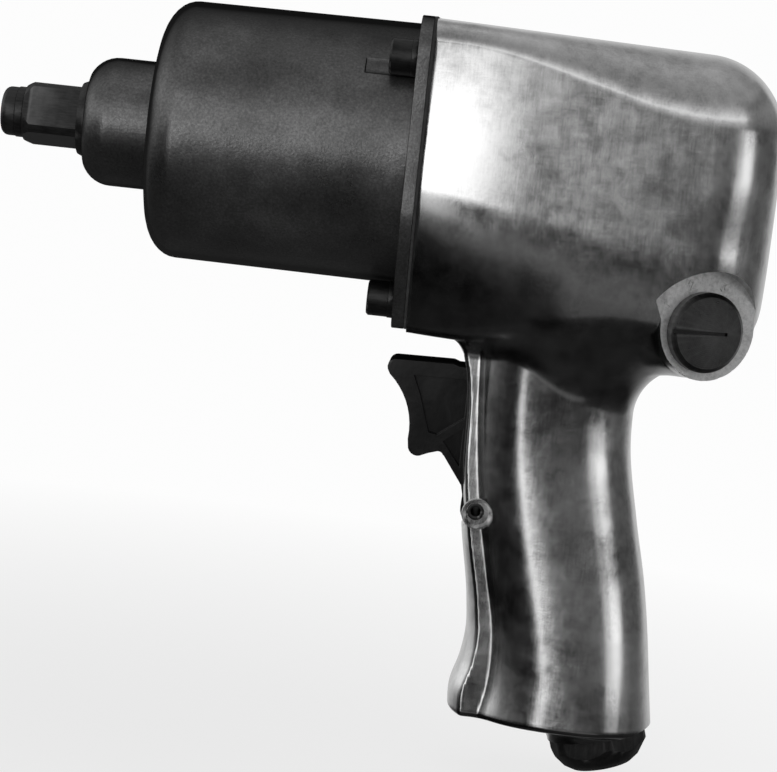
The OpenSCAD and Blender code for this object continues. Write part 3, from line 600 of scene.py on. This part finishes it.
def surface_mesh(distance, low, high, step):
    """Surface nets over a distance function: points and quads, outward."""
    counts = np.ceil((high - low) / step).astype(int) + 1
    axes = [low[i] + step * np.arange(counts[i]) for i in range(3)]
    field = np.empty(tuple(counts), np.float32)
    gy, gz = np.meshgrid(axes[1], axes[2], indexing="ij")
    for i, x in enumerate(axes[0]):
        points = np.stack([np.full_like(gy, x), gy, gz], -1)
        field[i] = distance(points)
    inside = field < 0
    corners = np.zeros(tuple(counts - 1), np.int8)
    total = np.zeros(tuple(counts - 1) + (3,), np.float32)
    crossings = np.zeros(tuple(counts - 1), np.float32)
    shape = counts - 1
    for dx in (0, 1):
        for dy in (0, 1):
            for dz in (0, 1):
                corners += inside[dx:dx + shape[0], dy:dy + shape[1], dz:dz + shape[2]]
    for axis in range(3):
        others = [a for a in range(3) if a != axis]
        for u in (0, 1):
            for v in (0, 1):
                start = [0, 0, 0]
                start[others[0]] = u
                start[others[1]] = v
                finish = list(start)
                finish[axis] = 1
                a = field[tuple(slice(start[k], start[k] + shape[k]) for k in range(3))]
                b = field[tuple(slice(finish[k], finish[k] + shape[k]) for k in range(3))]
                hit = (a < 0) != (b < 0)
                t = np.where(hit, a / np.where(hit, a - b, 1), 0)
                for k in range(3):
                    value = t if k == axis else float(start[k])
                    total[..., k] += np.where(hit, value, 0)
                crossings += hit
    active = (corners > 0) & (corners < 8)
    cells = np.argwhere(active)
    index = np.full(tuple(shape), -1, np.int64)
    index[active] = np.arange(len(cells))
    offset = total[active] / crossings[active][:, None]
    verts = low + step * (cells + offset)
    quads = []
    for axis in range(3):
        others = [(axis + 1) % 3, (axis + 2) % 3]
        a = field[tuple(slice(0, -1) if k == axis else slice(1, -1) for k in range(3))]
        b = field[tuple(slice(1, None) if k == axis else slice(1, -1) for k in range(3))]
        hit = np.argwhere((a < 0) != (b < 0))
        flip = (a < 0)[tuple(hit.T)]
        base = hit.copy()
        for k in others:
            base[:, k] += 1
        ring = []
        for u, v in ((0, 0), (-1, 0), (-1, -1), (0, -1)):
            cell = base.copy()
            cell[:, others[0]] += u
            cell[:, others[1]] += v
            ring.append(index[tuple(cell.T)])
        ring = np.stack(ring, 1)
        ring[~flip] = ring[~flip][:, ::-1]
        quads.append(ring)
    quads = np.concatenate(quads)
    quads = quads[(quads >= 0).all(1)]
    return verts, quads


def gradient(distance, points, h=0.05):
    """Slope of a distance function, by central differences of h mm."""
    result = np.empty_like(points)
    for k in range(3):
        shift = np.zeros(3)
        shift[k] = h
        result[:, k] = (distance(points + shift) - distance(points - shift)) / (2 * h)
    return result


def settle(distance, verts, quads, rounds=3):
    """Evens out the net and pulls its points back onto the surface."""
    ends = np.concatenate([quads[:, [0, 1]], quads[:, [1, 2]], quads[:, [2, 3]], quads[:, [3, 0]]])
    count = np.bincount(ends[:, 0], minlength=len(verts)) + np.bincount(ends[:, 1], minlength=len(verts))
    for turn in range(rounds):
        mean = np.zeros_like(verts)
        for k in range(3):
            mean[:, k] = np.bincount(ends[:, 0], verts[ends[:, 1], k], len(verts))
            mean[:, k] += np.bincount(ends[:, 1], verts[ends[:, 0], k], len(verts))
        verts = 0.4 * verts + 0.6 * mean / np.maximum(count, 1)[:, None]
        for again in range(2):
            slope = gradient(distance, verts)
            steep = np.maximum((slope ** 2).sum(1), 0.05)
            verts = verts - slope * (distance(verts) / steep)[:, None]
    return verts


NET = 0.6
MARGIN = np.array([3.0, 3.0, 8.0])


def proud_housing(points):
    """The housing with its front 2 mm proud, so that one flat cut leaves a crisp joint face."""
    return np.maximum(housing_distance(points), FRONT - 2 - points[..., 0])


verts, quads = surface_mesh(proud_housing, housing_low - MARGIN, housing_high + MARGIN, NET)
verts = settle(proud_housing, verts, quads)
housing = new_object("motor_housing_shell", verts, quads, ALUMINIUM, "housing_group")
housing.data.materials.append(SEAT)


def rod(cutter, start, finish, radius, sides=96):
    """Adds a closed round bar to a bmesh, from start to finish in mm."""
    start = np.array(start, float)
    finish = np.array(finish, float)
    axis = Vector(finish - start)
    turn = Vector((0, 0, 1)).rotation_difference(axis.normalized())
    matrix = Matrix.Translation(Vector(start + finish) / 2 * MM) @ turn.to_matrix().to_4x4()
    bmesh.ops.create_cone(cutter, cap_ends=True, cap_tris=False, segments=sides, radius1=radius * MM,
                          radius2=radius * MM, depth=axis.length * MM, matrix=matrix)


def cut(target, name, build):
    """Cuts a shape out of the target with an exact boolean, then applies it."""
    mesh = bpy.data.meshes.new(name)
    shape = bmesh.new()
    build(shape)
    shape.to_mesh(mesh)
    shape.free()
    tool = bpy.data.objects.new(name, mesh)
    scene.collection.objects.link(tool)
    step = target.modifiers.new(name, "BOOLEAN")
    step.operation = "DIFFERENCE"
    step.solver = "MANIFOLD"
    step.object = tool
    bpy.context.view_layer.update()
    graph = bpy.context.evaluated_depsgraph_get()
    result = bpy.data.meshes.new_from_object(target.evaluated_get(graph))
    target.modifiers.clear()
    target.data = result
    bpy.data.objects.remove(tool)


def beside(point, y):
    """The same place in the side view, at y across the tool."""
    return (point[0], y, point[2])


def out_from_seat(distance):
    return SEAT_AT + KNOB_AXIS * distance


def up_inlet(distance):
    return MOUTH + UP_INLET * distance


cut(housing, "joint_face", lambda s: rod(s, (FRONT - 9, 0, 0), (FRONT, 0, 0), 90, 32))
cut(housing, "motor_bore", lambda s: rod(s, (FRONT - 3, 0, 0), (145, 0, 0), 27.5, 128))
cut(housing, "rear_bore", lambda s: rod(s, (144, 0, 0), (155.7, 0, 0), 20.5, 128))
cut(housing, "seat_recess", lambda s: rod(s, out_from_seat(0), out_from_seat(18), SEAT_R, 160))
cut(housing, "valve_bore", lambda s: rod(s, out_from_seat(-18), out_from_seat(2), 6.83))
cut(housing, "inlet_mouth", lambda s: rod(s, up_inlet(-14), up_inlet(0), 40))
cut(housing, "inlet_thread", lambda s: rod(s, up_inlet(-2), up_inlet(14.5), 10.03))
cut(housing, "air_passage", lambda s: rod(s, up_inlet(13), up_inlet(82), 6.5))
cut(housing, "screen_pocket", lambda s: rod(s, up_inlet(14), up_inlet(23), 8.5))
cut(housing, "pin_hole", lambda s: rod(s, beside(PIN_AT, -30), beside(PIN_AT, 30), 2.03, 48))
for side in (-1, 1):
    cut(housing, "pin_face",
        lambda s: rod(s, beside(RIM_AT, side * 10.6), beside(RIM_AT, side * 30), RIM_R + 0.02, 64))
cut(housing, "plunger_hole", lambda s: rod(s, (108, 0, -62), (119, 0, -62), 4.03, 48))
cut(housing, "muffler_chamber", lambda s: rod(s, (114, 0, -98), (117, 0, -140), 6.0, 64))
for y, z in SCREWS_AT:
    cut(housing, "screw_hole", lambda s: rod(s, (FRONT - 2, y, z), (FRONT + 16, y, z), 2.53, 32))

# The seat's floor is left as cast
seat_centre = Vector(SEAT_AT) * MM
seat_axis = Vector(KNOB_AXIS)
for face in housing.data.polygons:
    offset = face.center - seat_centre
    height = offset.dot(seat_axis)
    across = (offset - seat_axis * height).length
    if across < (SEAT_R - 0.01) * MM and abs(height) < 0.02 * MM:
        face.material_index = 1


def true_normals(obj, distance, sharp=32):
    """Shades the outside by the distance function's own slope, and cut faces flat."""
    shade(obj, sharp)
    mesh = obj.data
    normals = np.empty(len(mesh.loops) * 3, np.float32)
    mesh.corner_normals.foreach_get("vector", normals)
    normals = normals.reshape(-1, 3)
    centres = np.empty(len(mesh.polygons) * 3, np.float32)
    mesh.polygons.foreach_get("center", centres)
    outer = np.abs(distance(centres.reshape(-1, 3) / MM)) < 0.08
    outer &= centres.reshape(-1, 3)[:, 0] / MM > FRONT + 0.01
    sizes = np.empty(len(mesh.polygons), np.int32)
    mesh.polygons.foreach_get("loop_total", sizes)
    of_face = np.repeat(outer, sizes)
    corners = np.empty(len(mesh.loops), np.int32)
    mesh.loops.foreach_get("vertex_index", corners)
    places = np.empty(len(mesh.vertices) * 3, np.float32)
    mesh.vertices.foreach_get("co", places)
    slope = gradient(distance, places.reshape(-1, 3) / MM, 0.15)
    slope /= np.maximum(np.linalg.norm(slope, axis=1), 1e-6)[:, None]
    normals[of_face] = slope[corners[of_face]]
    mesh.normals_split_custom_set(normals)


true_normals(housing, housing_distance)
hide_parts("motor_housing")


# ------------------------------------------- pin rims and marks on the seat

# Strokes of the setting numbers, one unit being half a digit's height
DIGITS = {
    "1": [[(-0.3, 0.6), (0, 1), (0, -1)]],
    "2": [[(-0.6, 0.6), (0, 1), (0.6, 0.5), (-0.6, -1), (0.6, -1)]],
    "3": [[(-0.6, 1), (0.6, 1), (0, 0.15), (0.6, -0.5), (0, -1), (-0.6, -0.7)]],
}


def on_seat(across, up, out):
    """Point on the seat's floor, in the part's own frame."""
    side = np.array([math.cos(KNOB_TURN), math.sin(KNOB_TURN), 0.0])
    return SEAT_AT + side * across + np.array([0.0, 0.0, up]) + KNOB_AXIS * out


def pin_rims():
    """Dished rims of the pin hole, one on each side of the handle."""
    profile = [(2.75, 10.0), (2.75, 10.8), (2.9, 10.95), (3.3, 11.25), (3.52, 11.5), (3.7, 11.5),
               (RIM_R, 11.2), (RIM_R, 10.0)]
    steps = 72
    verts = []
    faces = []
    for side in (-1, 1):
        first = len(verts)
        for k in range(steps):
            turn = 2 * math.pi * k / steps
            for radius, out in profile:
                verts.append((RIM_AT[0] + radius * math.cos(turn), side * out,
                              RIM_AT[2] + radius * math.sin(turn)))
        count = len(profile)
        for k in range(steps):
            for j in range(count):
                a = first + k * count + j
                b = first + k * count + (j + 1) % count
                c = first + (k + 1) % steps * count + (j + 1) % count
                d = first + (k + 1) % steps * count + j
                faces.append([a, b, c, d] if side > 0 else [d, c, b, a])
    return new_object("pin_rims", verts, faces, ALUMINIUM, "housing_group")


rims = pin_rims()
shade(rims, 40)


def seat_marks():
    """Raised setting numbers round the knob and the index line at its right."""
    verts = []
    faces = []

    def stroke(start, end, half_width, height):
        start = np.array(start, float)
        end = np.array(end, float)
        along = (end - start) / np.linalg.norm(end - start)
        aside = np.array([-along[1], along[0]]) * half_width
        start = start - along * half_width
        end = end + along * half_width
        first = len(verts)
        for scale, out in ((1.0, -0.1), (0.6, height)):
            reach = aside * scale
            for corner in (start - reach, end - reach, end + reach, start + reach):
                verts.append(on_seat(corner[0], corner[1], out))
        faces.append([first + k for k in (3, 2, 1, 0)])
        faces.append([first + k for k in (4, 5, 6, 7)])
        for k in range(4):
            faces.append([first + k, first + (k + 1) % 4, first + 4 + (k + 1) % 4, first + 4 + k])

    for digit, angle in (("1", 150), ("2", 112), ("3", 68)):
        turn = math.radians(angle)
        centre = np.array([math.cos(turn), math.sin(turn)]) * 11.5
        for line in DIGITS[digit]:
            for start, end in zip(line[:-1], line[1:]):
                turned = []
                for px, py in (start, end):
                    tilt = turn - math.pi / 2
                    turned.append(centre + np.array([px * math.cos(tilt) - py * math.sin(tilt),
                                                     px * math.sin(tilt) + py * math.cos(tilt)]))
                stroke(turned[0], turned[1], 0.16, 0.22)
    stroke((10.0, 0.2), (12.2, 0.2), 0.14, 0.16)
    return new_object("seat_marks", verts, faces, SEAT, "housing_group")


marks = seat_marks()
shade(marks, 20)

# ------------------------------------------------------------ camera, stage

TARGET = Vector((0.0809, 0, -0.0565))
AZIMUTH = math.radians(2)
ELEVATION = math.radians(6.3)
ROLL = math.radians(6.15)
DISTANCE = 0.700
HALF_VIEW = 0.0945
toward = Vector((-math.sin(AZIMUTH) * math.cos(ELEVATION), math.cos(AZIMUTH) * math.cos(ELEVATION),
                 -math.sin(ELEVATION)))
level_right = Vector((math.cos(AZIMUTH), math.sin(AZIMUTH), 0))
level_up = level_right.cross(toward)
right = level_right * math.cos(ROLL) + level_up * math.sin(ROLL)
up = level_up * math.cos(ROLL) - level_right * math.sin(ROLL)
eye = TARGET - toward * DISTANCE
camera_data = bpy.data.cameras.new("camera")
camera = bpy.data.objects.new("camera", camera_data)
scene.collection.objects.link(camera)
camera.matrix_world = Matrix((
    (right.x, up.x, -toward.x, eye.x),
    (right.y, up.y, -toward.y, eye.y),
    (right.z, up.z, -toward.z, eye.z),
    (0, 0, 0, 1)))
camera_data.sensor_fit = "HORIZONTAL"
camera_data.angle = 2 * math.atan(HALF_VIEW / DISTANCE)
camera_data.clip_start = 0.01
scene.camera = camera


def make_world():
    """Soft boxes and dark cards fixed to the camera, so every view is lit alike."""
    world = bpy.data.worlds.new("studio")
    scene.world = world
    world.use_nodes = True
    nodes = world.node_tree.nodes
    links = world.node_tree.links
    nodes.clear()
    output = nodes.new("ShaderNodeOutputWorld")
    coord = nodes.new("ShaderNodeTexCoord")
    turn = nodes.new("ShaderNodeVectorTransform")
    turn.vector_type = "VECTOR"
    turn.convert_from = "WORLD"
    turn.convert_to = "CAMERA"
    links.new(coord.outputs["Generated"], turn.inputs[0])
    unit = nodes.new("ShaderNodeVectorMath")
    unit.operation = "NORMALIZE"
    links.new(turn.outputs[0], unit.inputs[0])
    split = nodes.new("ShaderNodeSeparateXYZ")
    links.new(unit.outputs[0], split.inputs[0])
    back = math_node(nodes, links, "MULTIPLY", split.outputs["Z"], -1.0)
    around = math_node(nodes, links, "ARCTAN2", split.outputs["X"], back)
    above = math_node(nodes, links, "ARCSINE", split.outputs["Y"])

    def smooth(value, low, high):
        node = nodes.new("ShaderNodeMapRange")
        node.interpolation_type = "SMOOTHSTEP"
        node.inputs["From Min"].default_value = math.radians(low)
        node.inputs["From Max"].default_value = math.radians(high)
        links.new(value, node.inputs["Value"])
        return node.outputs["Result"]

    def box(left, right, bottom, top, soft, strength):
        """Soft-edged rectangle of light; angles seen from the object, 0 is the camera."""
        inside = math_node(nodes, links, "SUBTRACT", smooth(around, left - soft, left + soft),
                           smooth(around, right - soft, right + soft))
        tall = math_node(nodes, links, "SUBTRACT", smooth(above, bottom - soft, bottom + soft),
                         smooth(above, top - soft, top + soft))
        both = math_node(nodes, links, "MULTIPLY", inside, tall)
        return math_node(nodes, links, "MULTIPLY", both, strength)

    height = remap(nodes, links, above, -math.pi / 2, math.pi / 2, 0, 1)
    stops = [((angle + 90) / 180, level) for angle, level in ROOM_BY_HEIGHT]
    room = ramp(nodes, links, height, stops)
    behind = smooth(split.outputs["Z"], 22, 54)
    floor_dim = remap(nodes, links, above, math.radians(-32), math.radians(-4), 0.2, 1.0)
    behind = math_node(nodes, links, "MULTIPLY", behind, floor_dim)
    gap = math_node(nodes, links, "SUBTRACT", BACKDROP, room)
    total = math_node(nodes, links, "ADD", room, math_node(nodes, links, "MULTIPLY", behind, gap))
    for card in DARK_CARDS:
        left_over = math_node(nodes, links, "SUBTRACT", 1.0, box(*card))
        total = math_node(nodes, links, "MULTIPLY", total, left_over)
    for light in SOFT_BOXES:
        total = math_node(nodes, links, "ADD", total, box(*light))
    glossy = nodes.new("ShaderNodeBackground")
    links.new(total, glossy.inputs["Strength"])
    plain = nodes.new("ShaderNodeBackground")
    plain.inputs["Color"].default_value = (0.98, 0.98, 0.98, 1)
    plain.inputs["Strength"].default_value = 1.0
    path = nodes.new("ShaderNodeLightPath")
    mix = nodes.new("ShaderNodeMixShader")
    links.new(path.outputs["Is Camera Ray"], mix.inputs[0])
    links.new(glossy.outputs[0], mix.inputs[1])
    links.new(plain.outputs[0], mix.inputs[2])
    links.new(mix.outputs[0], output.inputs["Surface"])


# Brightness of the wall behind the tool, as it is seen in reflections
BACKDROP = 0.8
# Brightness of the room by the angle above the camera's own level
ROOM_BY_HEIGHT = [
    (-90, 0.015), (-45, 0.025), (-26, 0.04), (-18, 0.05), (-13, 0.08), (-9.5, 0.21), (-6, 0.13),
    (-1, 0.20), (6, 0.60), (20, 0.90), (32, 0.40), (48, 0.36), (70, 0.5), (90, 0.7),
]
# Left, right, bottom, top and softness in degrees, then strength
SOFT_BOXES = [
    (-29, -7, -11, 3, 5.5, 2.8),
    (-28, -19, -26, -10, 3.5, 1.15),
    (-30, 34, -40, -27, 4, 0.12),
    (-60, 60, 12, 16, 1.5, 1.0),
    (44, 70, -14, -6, 2, 1.3),
    (54, 74, -8.6, -4, 1, 1.6),
    (74, 90, -15, -10, 4, 0.2),
    (-140, -84, 4, 50, 8, 0.5),
]
# Laid out in the same way; the last number is the share of the room that the card hides
DARK_CARDS = [
    (-160, -33, -60, -7, 5, 0.85),
    (30, 128, -60, -14, 3, 0.4),
    (58, 134, -3, 34, 5, 0.65),
]
make_world()


def make_floor():
    """Plain pale floor that fades into the pale background."""
    lowest = cad_box[0][2]
    mesh = bpy.data.meshes.new("floor")
    shape = bmesh.new()
    bmesh.ops.create_circle(shape, cap_ends=True, segments=96, radius=6,
                            matrix=Matrix.Translation((0.08, 0, lowest - 0.002)))
    shape.to_mesh(mesh)
    shape.free()
    floor = bpy.data.objects.new("floor", mesh)
    scene.collection.objects.link(floor)
    material = new_material("floor")
    nodes, links = nodes_of(material)
    shader = nodes["Principled BSDF"]
    shader.inputs["Base Color"].default_value = (0.9, 0.9, 0.9, 1)
    shader.inputs["Roughness"].default_value = 0.9
    glow = nodes.new("ShaderNodeEmission")
    glow.inputs["Color"].default_value = (0.98, 0.98, 0.98, 1)
    coord = nodes.new("ShaderNodeTexCoord")
    away = nodes.new("ShaderNodeVectorMath")
    away.operation = "LENGTH"
    links.new(coord.outputs["Object"], away.inputs[0])
    fade = remap(nodes, links, away.outputs["Value"], 0.14, 0.40, 0.72, 1.0)
    mix = nodes.new("ShaderNodeMixShader")
    links.new(fade, mix.inputs[0])
    links.new(shader.outputs[0], mix.inputs[1])
    links.new(glow.outputs[0], mix.inputs[2])
    links.new(mix.outputs[0], nodes["Material Output"].inputs["Surface"])
    mesh.materials.append(material)
    floor.visible_glossy = False


make_floor()
scene.view_settings.view_transform = "Standard"
scene.view_settings.look = "None"

bpy.context.view_layer.update()
